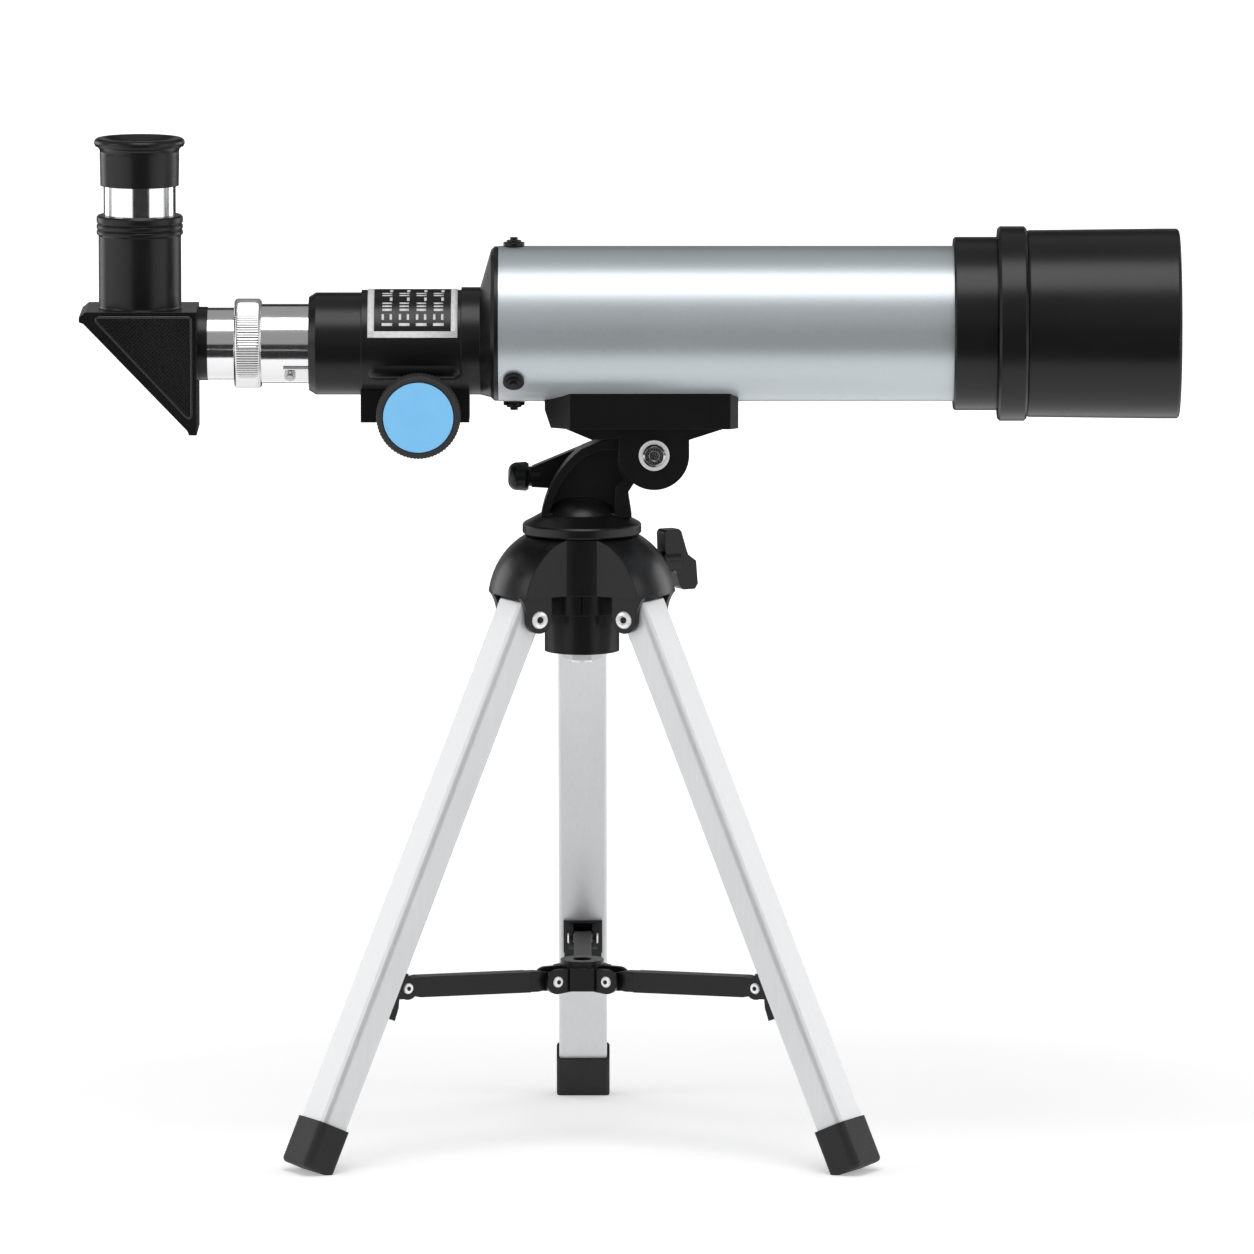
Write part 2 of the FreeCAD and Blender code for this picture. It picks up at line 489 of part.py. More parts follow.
def pan_head():
    base = lathe(Z, spot(0, 0, 0), [
        (DISC_Z, 0), (DISC_Z, DISC_R - 0.5), (DISC_Z + 0.5, DISC_R), (DISC_Z + 3.1, DISC_R),
        (DISC_Z + 3.7, DISC_R - 0.5),
        ((DISC_Z + 5.2, 16.9), (DISC_Z + 6.9, 13.9)), (DISC_Z + 6.9, 12.4),
        ((DISC_Z + 11.0, 8.2), (DISC_Z + 12.6, 0))])
    outline = [(-13.9, 217.0), ((-9.2, 230.2), (-0.2, 240.4)), (6.0, 243.0), (16.0, 246.6), (TILT_X, 248.2),
               ((TILT_X + 9.5, TILT_Z), (TILT_X, TILT_Z - 9.5)), (17.6, 228.6), (15.6, 225.5), (16.9, 217.0)]
    pocket = [(-10.8, 218.5), ((-6.6, 229.4), (1.6, 238.2)), (7.0, 240.2), (12.6, 240.0),
              ((12.6, 234.2), (14.4, 230.2)),
              (11.6, 227.5), (11.0, 218.5)]
    arm = slab(outline, -6.8, 6.8)
    for y0, y1 in ((-8, -2), (2, 8)):
        arm = arm.cut(slab(pocket, y0, y1))
    knuckle = rod(Y, spot(TILT_X, 0, TILT_Z), 9.5, -EAR_IN + TOUCH, EAR_IN - TOUCH)
    body = base.fuse([arm, knuckle])
    body = body.cut(rod(Y, spot(TILT_X, 0, TILT_Z), TILT_BOLT_R, -20, 20))
    body = body.cut(rod(Z, spot(0, 0, 0), PAN_BOLT_R, 200, DISC_Z + 8))
    keep("pan_head", max(body.Solids, key=lambda s: s.Volume))
    bolt = rod(Z, spot(0, 0, 0), PAN_BOLT_R, 167.0, DISC_Z + 8)
    keep("pan_bolt", bolt)
    nut = Part.Face(Part.makePolygon([Vector(6.6 * math.cos(math.radians(60 * i)),
                                             6.6 * math.sin(math.radians(60 * i)), 168.0)
                                      for i in range(7)])).extrude(Vector(0, 0, 2.5))
    keep("pan_nut", nut.cut(bolt))
    pin = rod(Y, spot(TILT_X, 0, TILT_Z), TILT_BOLT_R, -EAR_OUT - 0.9, 21.4)
    head = lathe(-Y, spot(TILT_X, 0, TILT_Z), [
        (EAR_OUT + 0.9, 0), (EAR_OUT + 0.9, 3.9), (EAR_OUT + 1.8, 3.9), (EAR_OUT + 2.6, 3.2),
        (EAR_OUT + 2.6, 1.7),
        (EAR_OUT + 1.4, 1.7), (EAR_OUT + 1.4, 0)])
    keep("tilt_bolt", pin.fuse(head))
    keep("tilt_washer", tube(-Y, spot(TILT_X, 0, TILT_Z), 5.2, TILT_BOLT_R, EAR_OUT + 0.1, EAR_OUT + 0.9))


def tilt_lever():
    """Clamping lever on the far end of the tilt bolt, with a round grip."""
    y0, y1 = EAR_OUT + 4.6, EAR_OUT + 10.6
    arm = slab([(-17.2, 231.6), (3.4, 240.2), (17.0, 245.4),
                ((TILT_X + 9, TILT_Z), (TILT_X - 2, TILT_Z - 9)),
                (-3.0, 224.0), (-17.2, 224.8)], y0, y1)
    boss = rod(Y, spot(TILT_X, 0, TILT_Z), 6.0, EAR_OUT + 0.15, y0 + 1)
    grip = lathe(X, spot(0, (y0 + y1) / 2, 228.2), [
        (-25.2, 0), (-25.2, 1.6), ((-24.3, 3.9), (-21.8, 4.8)), (-19.2, 5.0), (-18.2, 4.4), (-18.2, 3.4),
        (-14.0, 3.4), (-14.0, 0)])
    body = arm.fuse([boss, grip])
    keep("tilt_lever", body.cut(rod(Y, spot(TILT_X, 0, TILT_Z), TILT_BOLT_R + RUN, 0, 22.5)))


# ------------------------------------------------------------------ crown
def crown():
    dome = lathe(Z, spot(0, 0, 0), [
        (CROWN_BASE, 0), (CROWN_BASE, CROWN_R), ((CROWN_BASE + 10.4, 28.2),
                                                 (DISC_Z - 0.4, 18.9)), (DISC_Z - 0.4, 0)])
    hoods = None
    for name in LEG_TURNS:
        lane = swung(block(0, 40, -HOOD_HALF, HOOD_HALF, CROWN_BASE - 1, DISC_Z), name)
        hoods = lane if hoods is None else hoods.fuse(lane)
    body = dome.common(hoods).fuse(rod(Z, spot(0, 0, 0), 18.6, CROWN_BASE, DISC_Z - 0.4))
    well = rod(Y, spot(PIVOT_R, 0, PIVOT_Z), 10.7, -LEG_WIDE / 2 - TOUCH - 0.1, LEG_WIDE / 2 + TOUCH + 0.1)
    lug_in = LEG_WIDE / 2 + TOUCH + 0.1
    lug = slab([(PIVOT_R - 4.7, 193), (PIVOT_R - 4.7, PIVOT_Z),
                ((PIVOT_R, PIVOT_Z - 4.7), (PIVOT_R + 4.7, PIVOT_Z)),
                ((PIVOT_R + 5.3, PIVOT_Z + 4), (PIVOT_R + 7.4, CROWN_BASE + 0.1)),
                (PIVOT_R + 5, 193)], lug_in, lug_in + 2.2)
    for name in LEG_TURNS:
        body = body.cut(swung(well, name))
        body = body.fuse([swung(s, name) for s in both_sides(lug)])
    body = body.fuse([rod(Z, spot(0, 0, 0), CORE_R, CORE_Z, DISC_Z - 0.05),
                      rod(Z, spot(0, 0, 0), 14.4, 184.2, 192)])
    body = body.cut(rod(Z, spot(0, 0, 0), PAN_BOLT_R + RUN, CORE_Z - 1, DISC_Z + 1))
    body = body.cut(block(-0.45, 0.45, -16, -13.2, 184, 191.4))
    screw_way = rod(X, spot(0, 0, 199.2), 2.0 + RUN, 3, 30)
    screw_way.rotate(Vector(0, 0, 0), Z, 30)
    body = body.cut(screw_way)
    for name in LEG_TURNS:
        body = body.cut(swung(rod(Y, spot(PIVOT_R, 0, PIVOT_Z), LEG_RIVET_R, -12, 12), name))
    keep("tripod_crown", max(body.Solids, key=lambda s: s.Volume))
    rivet = rod(Y, spot(PIVOT_R, 0, PIVOT_Z), LEG_RIVET_R, -lug_in - 2.2, lug_in + 2.2)
    head = lathe(Y, spot(PIVOT_R, 0, PIVOT_Z), [
        (lug_in + 2.2, 0), (lug_in + 2.2, 3.0), (lug_in + 2.9, 2.7), (lug_in + 3.2, 1.7), (lug_in + 2.5, 1.3),
        (lug_in + 2.5, 0)])
    rivet = rivet.fuse(both_sides(head))
    keep("leg_rivets", *[swung(rivet, name) for name in LEG_TURNS])


def pan_lock():
    """Wing screw between two hoods that bears on the pan bolt."""
    level = spot(0, 0, 199.2)
    screw = rod(X, level, 2.0, PAN_BOLT_R + TOUCH, 36.2)
    hub = lathe(X, level, [(30.6, 0), (30.6, 3.2), (31.6, 3.8), (38.0, 3.8), (39.0, 3.0), (39.0, 0)])
    wing = slab([(31.7, 209.2), (32.6, 210.2), (37.8, 210.2), (38.8, 209.3), (40.6, 203.6), (41.6, 200.9),
                 (44.2, 199.0),
                 (44.9, 191.0), (43.7, 189.3), (39.4, 189.3), (38.0, 190.4), (36.6, 195.2), (33.6, 199.2),
                 (31.9, 203.0)], -2.7, 2.7)
    wing = rounded(wing, 0.9, lambda mid, way: abs(way.y) < 0.01 and 37 < mid.x < 42 and mid.z > 201)
    knob = wing.fuse(hub).cut(rod(X, level, 2.0, 0, 37.0))
    knob.translate(X * -0.8)
    for name, shape in (("pan_lock_screw", screw), ("pan_lock_knob", knob)):
        shape.rotate(Vector(0, 0, 0), Z, 30)
        keep(name, shape)


# ------------------------------------------------------------------ legs and feet
def upright(x0, x1, half, s0, s1, inner_r, outer_r):
    """A bar hanging down from s0 to s1, with its upright edges rounded."""
    bar = block(x0, x1, -half, half, -s1, -s0)
    bar = rounded(bar, outer_r, lambda mid, way: abs(way.z) > 0.99 and mid.x > x1 - 0.01)
    return rounded(bar, inner_r, lambda mid, way: abs(way.z) > 0.99 and mid.x < x0 + 0.01)


def legs():
    u0, u1 = LEG_OUT - LEG_DEEP / 2, LEG_OUT + LEG_DEEP / 2
    half = LEG_WIDE / 2
    bar = upright(u0, u1, half, LEG_TOP, LEG_END, 1.0, 2.2)
    bar = bar.cut(upright(u0 + LEG_WALL, u1 - LEG_WALL, half - LEG_WALL, LEG_TOP - 1, LEG_END + 1, 0.4,
                          1.0))
    bar = bar.cut(slab([(u1 - 3.4, -LEG_TOP + 0.1), (u1 + 0.1, -LEG_TOP + 0.1), (u1 + 0.1, -LEG_TOP - 3.4)],
                       -20, 20))
    bar = bar.cut(rod(Y, spot(0, 0, 0), LEG_RIVET_R + RUN, -20, 20))
    end = LEG_END + SOLE
    start = end - FOOT_LEN
    cap = upright(u0 - FOOT_WALL, u1 + FOOT_WALL, half + FOOT_WALL, start, end, 1.6, 2.8)
    cap = rounded(cap, SOLE_ROUND, lambda mid, way: mid.z < 0.01 - end)
    cap = cap.cut(upright(u0, u1, half, start - 8, LEG_END, 1.0, 2.2))
    plate = block(u0 - 1.6, u0, -6.7, 6.7, -BRACKET_S - 8, -BRACKET_S + 4.4)
    tail = slab([(u0, -BRACKET_S), (u0 - 1.6, -BRACKET_S - 4), (u0 - 2.8, -BRACKET_S - 7.5),
                 (u0 - 3.2, -BRACKET_S - 12.0), (u0 - 1.4, -BRACKET_S - 12.0), (u0, -BRACKET_S - 9)], -6.4, 6.4)
    ear_in = ARM_HALF + TOUCH
    ear = slab([(u0 - 0.1, -BRACKET_S - 5.6), (u0 - 0.1, -BRACKET_S + 4.2), (BRACKET_U, -BRACKET_S + 3.9),
                ((BRACKET_U - 3.9, -BRACKET_S), (BRACKET_U, -BRACKET_S - 3.9))], ear_in, ear_in + 1.5)
    bracket = plate.fuse([tail] + both_sides(ear))
    pin = rod(Y, spot(BRACKET_U, 0, -BRACKET_S), BRACE_PIN_R, -ear_in - 1.5, ear_in + 1.5)
    head = lathe(Y, spot(BRACKET_U, 0, -BRACKET_S),
                 [(ear_in + 1.5, 0), (ear_in + 1.5, 1.9), (ear_in + 2.0, 1.6), (ear_in + 2.1, 0)])
    bracket = bracket.cut(pin)
    floor = block(-300, 300, -300, 300, -40, 0)
    for name in LEG_TURNS:
        keep("leg_" + name, on_leg(bar, name))
        keep("foot_" + name, on_leg(cap, name).cut(floor))
        keep("brace_bracket_" + name, on_leg(bracket, name))
        keep("bracket_rivet_" + name, on_leg(pin.fuse(both_sides(head)), name))


# ------------------------------------------------------------------ brace
def brace_ends():
    """Length of a brace arm and its slope, degrees down towards the hub, with the legs open."""
    r, z = leg_point(BRACKET_S, BRACKET_U)
    length = math.hypot(r - HUB_R, z - HUB_Z)
    return length, math.degrees(math.atan2(z - HUB_Z, r - HUB_R))


def brace():
    length, slope = brace_ends()
    tall = ARM_TALL / 2
    neck = length - 6
    arm = slab([(0, TONGUE_R), (6, tall), (neck, tall), (length, ARM_END_R),
                ((length + ARM_END_R, 0), (length, -ARM_END_R)),
                (neck, -tall), (6, -tall), (0, -TONGUE_R), ((-TONGUE_R, 0),
                                                            (0, TONGUE_R))], -ARM_HALF, ARM_HALF)
    for sign in (-1, 1):
        y0, y1 = sorted((sign * TONGUE_HALF, sign * (ARM_HALF + 1)))
        arm = arm.cut(block(-5, 9.5, y0, y1, -5, 5))
    arm = arm.cut(block(12, length - 8, -ARM_HALF + 1.2, ARM_HALF - 1.2, -5, tall - 1.2))
    arm = arm.cut(rod(Y, spot(length, 0, 0), BRACE_PIN_R + BRACE_SLACK, -5, 5))
    arm = arm.cut(rod(Y, spot(0, 0, 0), BRACE_PIN_R + RUN, -5, 5))
    arm.rotate(Vector(0, 0, 0), Y, -slope)
    arm.translate(spot(HUB_R, 0, HUB_Z))
    for name in LEG_TURNS:
        keep("brace_arm_" + name, swung(arm, name))
    ear_in, ear_out = ARM_HALF + TOUCH, ARM_HALF + TOUCH + 1.6
    ear = slab([(5.0, HUB_Z - tall), (HUB_R, HUB_Z - 4.2), ((HUB_R + 4.2, HUB_Z), (HUB_R, HUB_Z + 4.2)),
                (5.0, HUB_Z + 4.2)],
               ear_in, ear_out)
    hub = None
    web = plan([(4.1, 0), (9.0, -4.2), (9.0, 4.2)], HUB_Z - tall, HUB_Z + 4.3)
    web.rotate(Vector(0, 0, 0), Z, 60)
    for name in LEG_TURNS:
        for piece in both_sides(ear) + [web]:
            piece = swung(piece, name)
            hub = piece if hub is None else hub.fuse(piece)
    hub = hub.fuse(rod(Z, spot(0, 0, 0), 7.4, HUB_Z + 4.2, HUB_Z + 6.4))
    hub = hub.cut(rod(Z, spot(0, 0, 0), 3.3, HUB_Z - 10, HUB_Z + 10))
    lane = block(0, 20, -ear_in, ear_in, HUB_Z - 10, HUB_Z + 4.2)
    for name in LEG_TURNS:
        hub = hub.cut(swung(lane, name))
    pin = rod(Y, spot(HUB_R, 0, HUB_Z), BRACE_PIN_R, -ear_out, ear_out)
    head = lathe(Y, spot(HUB_R, 0, HUB_Z), [(ear_out, 0), (ear_out, 1.9), (ear_out + 0.5, 1.6),
                                            (ear_out + 0.6, 0)])
    for name in LEG_TURNS:
        hub = hub.cut(swung(pin, name))
    keep("brace_hub", hub)
    keep("hub_rivets", *[swung(pin.fuse(both_sides(head)), name) for name in LEG_TURNS])


def label():
    """Thin plate bent round the near side and top of the housing."""
    radius = HOUSING_STEPS[1][1]
    outline = [(-72.4, radius), (-72.4, radius + 0.25), (-42.0, radius + 0.25), (-42.0, radius)]
    centre = spot(0, 0, HOUSING_FLOOR + radius)
    start, end = LABEL_TURNS
    face = Part.Face(wire_of(outline, lambda p: centre + X * p[0] - Y * p[1]))
    plate = face.revolve(centre, X, start - end)
    plate.rotate(centre, X, -start)
    keep("label_plate", plate)


def main():
    optical_tube()
    housing_screws()
    focuser_housing()
    pinion_cover()
    pinion_set()
    drawtube()
    label()
    diagonal()
    eyepiece()
    cradle()
    pan_head()
    tilt_lever()
    crown()
    pan_lock()
    legs()
    brace()
    whole = Part.makeCompound(list(PARTS.values())).optimalBoundingBox(False)
    shift = Vector(-(whole.XMin + whole.XMax) / 2, -(whole.YMin + whole.YMax) / 2, 0)
    os.makedirs("parts", exist_ok=True)
    for name, shape in PARTS.items():
        moved = shape.copy()
        moved.translate(shift)
        moved.exportStep(os.path.join("parts", name + ".step"))
        print(name, len(moved.Solids), round(moved.Volume, 1), moved.isValid())
    print("shift", round(shift.x, 5), round(shift.y, 5), "floor", round(whole.ZMin, 4))
    print("size", round(whole.XLength, 2), round(whole.YLength, 2), round(whole.ZLength, 2))
    print("nodes", len(PARTS), "brace", brace_ends())
    print("sole", leg_point(LEG_END + SOLE - SOLE_ROUND, LEG_OUT - LEG_DEEP / 2 - FOOT_WALL + SOLE_ROUND))


main()
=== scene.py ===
"""Finishes and fine detail for a small refracting telescope on a braced table tripod."""

import json
import math

import bmesh
import bpy
import numpy as np
from bpy.props import FloatProperty, FloatVectorProperty, IntProperty, PointerProperty
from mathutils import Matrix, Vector


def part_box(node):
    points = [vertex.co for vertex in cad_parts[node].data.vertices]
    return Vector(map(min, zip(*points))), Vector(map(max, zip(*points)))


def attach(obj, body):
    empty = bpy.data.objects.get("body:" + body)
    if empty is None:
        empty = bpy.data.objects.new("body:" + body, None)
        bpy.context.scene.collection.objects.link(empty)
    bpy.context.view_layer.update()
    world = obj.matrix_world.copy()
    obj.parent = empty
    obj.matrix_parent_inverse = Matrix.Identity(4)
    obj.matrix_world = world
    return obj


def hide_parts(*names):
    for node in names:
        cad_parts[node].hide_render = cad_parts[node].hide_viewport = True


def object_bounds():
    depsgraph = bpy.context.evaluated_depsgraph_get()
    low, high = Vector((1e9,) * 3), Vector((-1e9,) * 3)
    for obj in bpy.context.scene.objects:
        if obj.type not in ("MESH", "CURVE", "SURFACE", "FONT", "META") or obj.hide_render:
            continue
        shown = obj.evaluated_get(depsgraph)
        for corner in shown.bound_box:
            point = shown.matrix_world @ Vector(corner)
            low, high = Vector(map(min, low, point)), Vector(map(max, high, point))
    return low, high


bl_info = {
    "name": "Table Telescope",
    "version": (1, 0, 0),
    "blender": (4, 5, 0),
    "location": "View3D > Sidebar > Telescope",
    "description": "Finishes and fine detail for a small refracting telescope on a table tripod",
    "category": "Add Mesh",
}

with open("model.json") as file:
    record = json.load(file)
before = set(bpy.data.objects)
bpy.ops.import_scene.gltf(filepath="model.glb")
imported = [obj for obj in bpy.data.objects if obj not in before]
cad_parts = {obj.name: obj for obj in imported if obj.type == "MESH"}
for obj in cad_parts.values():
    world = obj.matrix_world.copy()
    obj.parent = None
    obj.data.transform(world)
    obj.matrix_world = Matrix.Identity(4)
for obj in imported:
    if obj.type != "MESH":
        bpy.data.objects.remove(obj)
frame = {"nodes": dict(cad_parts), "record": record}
CAD_BOX = [list(c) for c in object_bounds()]
MM = 0.001

# Sizes in millimetres and angles in degrees that the finer pieces share with the CAD nodes they stand on.
RING_BAND, RING_BORE = 15.25, 13.56        # radii of the clamp ring's knurled band and of its bore
CASE_TOP, CASE_RIGHT = 41.9, 39.7          # square corner of the diagonal's side, from its low corner
PANEL_INSET, PANEL_TIP = 2.3, 5.6          # panel's corner and its two tips, inwards from the case's outline
PANEL_PROUD = 0.06                         # how far the panel stands off the case
PANEL_CELLS = 150                          # points along each side of the panel's grid
BEAD_HALF, BEAD_RISE = 0.5, 0.45           # half width and height of the bead round the panel
BEAD_SPREAD, BEAD_CORNER = 0.045, 1.2      # share that the bead lies outside the panel, and its corners
LABEL_RADIUS = 18.05                       # face of the label, round the drawtube's axis
LABEL_LOW, LABEL_HIGH = 11.0, 109.0        # ends of the label, upwards from the near side
LABEL_EDGE, LABEL_TURN = 2.2, 7.0          # width of the border along the axis, and round it
LEG_RIVET_OUT, HUB_RIVET_OUT = 22.7, 12.2  # distance of the rivets from the tripod's axis
AIM_RIGHT, AIM_UP = 15.3, 178.7            # camera's aim, from the tripod's axis and from the floor

# One column of the label's ticks: first angle, angle covered, and left and right end from the column's middle.
TICKS = ((24.0, 3.2, -1.8, 1.8), (31.0, 7.0, 0.9, 1.71), (31.0, 7.0, -1.8, -1.0), (42.0, 3.0, -1.6, 1.6),
         (47.5, 2.0, -1.6, 1.6), (52.0, 2.0, -1.6, 1.6), (57.0, 6.0, 0.9, 1.8), (66.0, 2.4, -1.7, 1.7),
         (71.0, 2.4, -1.7, 1.7), (76.0, 8.0, 0.9, 1.98))


def corners(node):
    """Lowest and highest corner of a CAD node, as arrays in millimetres."""
    low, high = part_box(node)
    return np.array(low) / MM, np.array(high) / MM


def middle(node):
    """Middle of a CAD node's box, in millimetres."""
    low, high = corners(node)
    return (low + high) / 2


# ------------------------------------------------------------------ shader expressions
class Sock:
    """A shader socket that can be used in arithmetic. Each operator adds one Math node."""

    def __init__(self, maker, socket):
        self.maker, self.socket = maker, socket

    def _math(self, operation, *values):
        return self.maker.add("ShaderNodeMath", {"operation": operation}, dict(enumerate(values)))

    def __add__(self, other):
        return self._math("ADD", self, other)

    __radd__ = __add__

    def __mul__(self, other):
        return self._math("MULTIPLY", self, other)

    __rmul__ = __mul__

    def __sub__(self, other):
        return self._math("SUBTRACT", self, other)

    def __rsub__(self, other):
        return self._math("SUBTRACT", other, self)

    def over(self, edge, soft):
        """0 below edge and 1 above it, over a width of soft."""
        ends = {0: self, 1: edge, 2: edge + soft, 3: 0.0, 4: 1.0}
        return self.maker.add("ShaderNodeMapRange", {"clamp": True}, ends)


class Finish:
    """One node material, whose nodes are added from a type, its settings and its inputs."""

    def __init__(self, name):
        self.material = bpy.data.materials.new(name)
        self.material.use_nodes = True
        self.tree = self.material.node_tree
        self.shader = self.tree.nodes["Principled BSDF"]
        self.where = self.add("ShaderNodeTexCoord", {}, {}, "Object")

    def add(self, kind, settings, inputs, output=0):
        """Adds a node and returns one of its outputs."""
        node = self.tree.nodes.new(kind)
        for key, value in settings.items():
            setattr(node, key, value)
        for key, value in inputs.items():
            self.feed(node.inputs[key], value)
        return Sock(self, node.outputs[output])

    def feed(self, socket, value):
        """Links a Sock to a socket, or sets the socket to a plain value."""
        if isinstance(value, Sock):
            self.tree.links.new(value.socket, socket)
        else:
            socket.default_value = value

    def noise(self, scale, detail=3.0, stretch=(1, 1, 1)):
        """Noise of about scale lumps to the metre, stretched along an axis where its factor is below 1."""
        place = self.add("ShaderNodeMapping", {}, {"Vector": self.where, "Scale": stretch})
        return self.add("ShaderNodeTexNoise", {}, {"Vector": place, "Scale": scale, "Detail": detail})

    def mix(self, factor, low, high):
        """Colour between low and high."""
        ends = {0: factor, 6: (*low, 1), 7: (*high, 1)}
        return self.add("ShaderNodeMix", {"data_type": "RGBA"}, ends, 2)

    def bump(self, height, depth, round_edges=0.0):
        """Normal from a height in metres times depth, over edges that look rounded."""
        inputs = {"Height": height, "Distance": depth, "Strength": 1.0}
        if round_edges:
            inputs["Normal"] = self.add("ShaderNodeBevel", {"samples": 6}, {"Radius": round_edges})
        return self.add("ShaderNodeBump", {}, inputs)

    def done(self, **values):
        """Feeds the shader's inputs, named with underscores for spaces, and returns the material."""
        for key, value in values.items():
            self.feed(self.shader.inputs[key.replace("_", " ")], value)
        return self.material


def tone(colour, gain):
    """Colour made lighter or darker by a factor."""
    return tuple(min(1.0, c * gain) for c in colour)


def silver_paint(colour):
    """Metallic paint: fine flakes, slightly uneven gloss and a thin orange-peel."""
    f = Finish("silver_paint")
    flakes = f.noise(2600, 2.0)
    clouds = f.noise(18, 4.0)
    shade = f.mix(flakes * 0.75 + clouds * 0.25, tone(colour, 0.84), tone(colour, 1.12))
    return f.done(Base_Color=shade, Metallic=0.72, Roughness=0.3 + flakes * 0.12 + clouds * 0.05,
                  Normal=f.bump(f.noise(900, 2.0), 0.00001), Coat_Weight=0.15, Coat_Roughness=0.2)


def moulded_black(name, colour, gloss, grain, depth, shine=0.34, edges=0.00035):
    """Moulded plastic: fine grain, faint flow marks and edges softened by the mould."""
    f = Finish(name)
    fine = f.noise(grain, 3.0)
    flow = f.noise(30, 5.0)
    shade = f.mix(flow.over(0.35, 0.4), tone(colour, 0.8), tone(colour, 1.5))
    return f.done(Base_Color=shade, Roughness=gloss + fine * 0.1 + flow * 0.08,
                  Normal=f.bump(fine, depth, edges), Specular_IOR_Level=shine)


def polished_plate(name, colour, gloss, brush, stretch=(1, 1, 1)):
    """Plated metal with a trace of polishing marks and handling haze."""
    f = Finish(name)
    marks = f.noise(brush, 4.0, stretch)
    haze = f.noise(60, 3.0)
    shade = f.mix(haze, tone(colour, 0.93), tone(colour, 1.04))
    return f.done(Base_Color=shade, Metallic=1.0, Roughness=gloss + marks * 0.05 + haze * 0.04,
                  Normal=f.bump(marks, 0.000004, 0.0002))


def bright_steel(colour):
    """Smooth satin steel of the rivets, bolts and washers."""
    f = Finish("screw_steel")
    fine = f.noise(500, 3.0)
    haze = f.noise(120, 2.0)
    shade = f.mix(haze, tone(colour, 0.9), tone(colour, 1.08))
    return f.done(Base_Color=shade, Metallic=0.35, Roughness=0.22 + fine * 0.06,
                  Normal=f.bump(fine, 0.000001, 0.00015))


def anodised(colour):
    """Satin anodised aluminium with fine lines drawn along the leg."""
    f = Finish("anodised_leg")
    grain = f.noise(900, 3.0, (1, 1, 0.05))
    haze = f.noise(35, 4.0)
    shade = f.mix(grain * 0.5 + haze * 0.5, tone(colour, 0.88), tone(colour, 1.08))
    return f.done(Base_Color=shade, Metallic=0.6, Roughness=0.34 + grain * 0.14 + haze * 0.06,
                  Normal=f.bump(grain, 0.000012, 0.0004))


def rubber(colour):
    """Soft rubber, mottled and a little dusty."""
    f = Finish("foot_rubber")
    fine = f.noise(1500, 4.0)
    dust = f.noise(80, 5.0)
    shade = f.mix(dust.over(0.5, 0.3), colour, tone(colour, 2.0))
    return f.done(Base_Color=shade, Roughness=0.5 + fine * 0.2, Normal=f.bump(fine, 0.00004, 0.0005))


def coated_glass(name, colour):
    """Clear lens with a faint coloured coating."""
    f = Finish(name)
    film = f.noise(12, 2.0)
    shade = f.mix(film, tone(colour, 0.9), tone(colour, 1.1))
    return f.done(Base_Color=shade, Roughness=0.01 + film * 0.02, Transmission_Weight=1.0, IOR=1.5,
                  Coat_Weight=0.4, Coat_Tint=(0.55, 0.6, 1.0, 1))


def satin_disc(colour):
    """Lightly textured sky-blue inlay."""
    f = Finish("blue_inlay")
    fine = f.noise(1200, 3.0)
    wear = f.noise(90, 4.0)
    shade = f.mix(wear, tone(colour, 0.95), tone(colour, 1.05))
    return f.done(Base_Color=shade, Roughness=0.42 + fine * 0.1, Normal=f.bump(fine, 0.00001))


def white_ink():
    """Slightly worn print of the label's border and ticks."""
    f = Finish("white_ink")
    wear = f.noise(700, 4.0)
    shade = f.mix(wear, (0.55, 0.55, 0.55), (0.85, 0.85, 0.85))
    return f.done(Base_Color=shade, Roughness=0.45 + wear * 0.1)


def flat_black_and_rivet_shade():
    """Flat black of the parts inside the tube, and painted shade in the rivets' hollow middles."""
    f = Finish("flat_black")
    fine = f.noise(800, 3.0)
    shade = f.mix(fine, (0.006, 0.006, 0.007), (0.014, 0.014, 0.015))
    return f.done(Base_Color=shade, Roughness=0.7 + fine * 0.2)


# ------------------------------------------------------------------ surfaces
def build(name, points, wrap_u=True, wrap_v=True, merge=0.0):
    """Mesh object from a grid of points (u, v, 3) in millimetres. A wrapped side joins its last row to its
    first."""
    nu, nv = points.shape[:2]
    u = np.arange(nu if wrap_u else nu - 1)
    v = np.arange(nv if wrap_v else nv - 1)
    i, j = np.meshgrid(u, v, indexing="ij")
    i2, j2 = (i + 1) % nu, (j + 1) % nv
    quads = np.stack([i * nv + j, i2 * nv + j, i2 * nv + j2, i * nv + j2], axis=-1).reshape(-1, 4)
    return mesh_object(name, points.reshape(-1, 3), quads, merge)


def mesh_object(name, points, faces, merge=0.0):
    """Object from vertex and face arrays, its faces turned outwards. Points closer than merge become one."""
    mesh = bpy.data.meshes.new(name)
    mesh.from_pydata((points * MM).tolist(), [], faces.tolist())
    bm = bmesh.new()
    bm.from_mesh(mesh)
    if merge:
        bmesh.ops.remove_doubles(bm, verts=bm.verts, dist=merge * MM)
    bmesh.ops.recalc_face_normals(bm, faces=bm.faces)
    bm.to_mesh(mesh)
    bm.free()
    mesh.polygons.foreach_set("use_smooth", np.ones(len(mesh.polygons), bool))
    piece = bpy.data.objects.new(name, mesh)
    bpy.context.scene.collection.objects.link(piece)
    mesh.update()
    return piece


def densify(profile, step):
    """Points along a closed profile, no further apart than step, keeping its corners."""
    rows = []
    pts = np.asarray(profile, float)
    for a, b in zip(pts, np.roll(pts, -1, axis=0)):
        n = max(1, int(np.ceil(np.linalg.norm(b - a) / step)))
        rows.append(a + (b - a) * np.linspace(0, 1, n, endpoint=False)[:, None])
    return np.concatenate(rows)


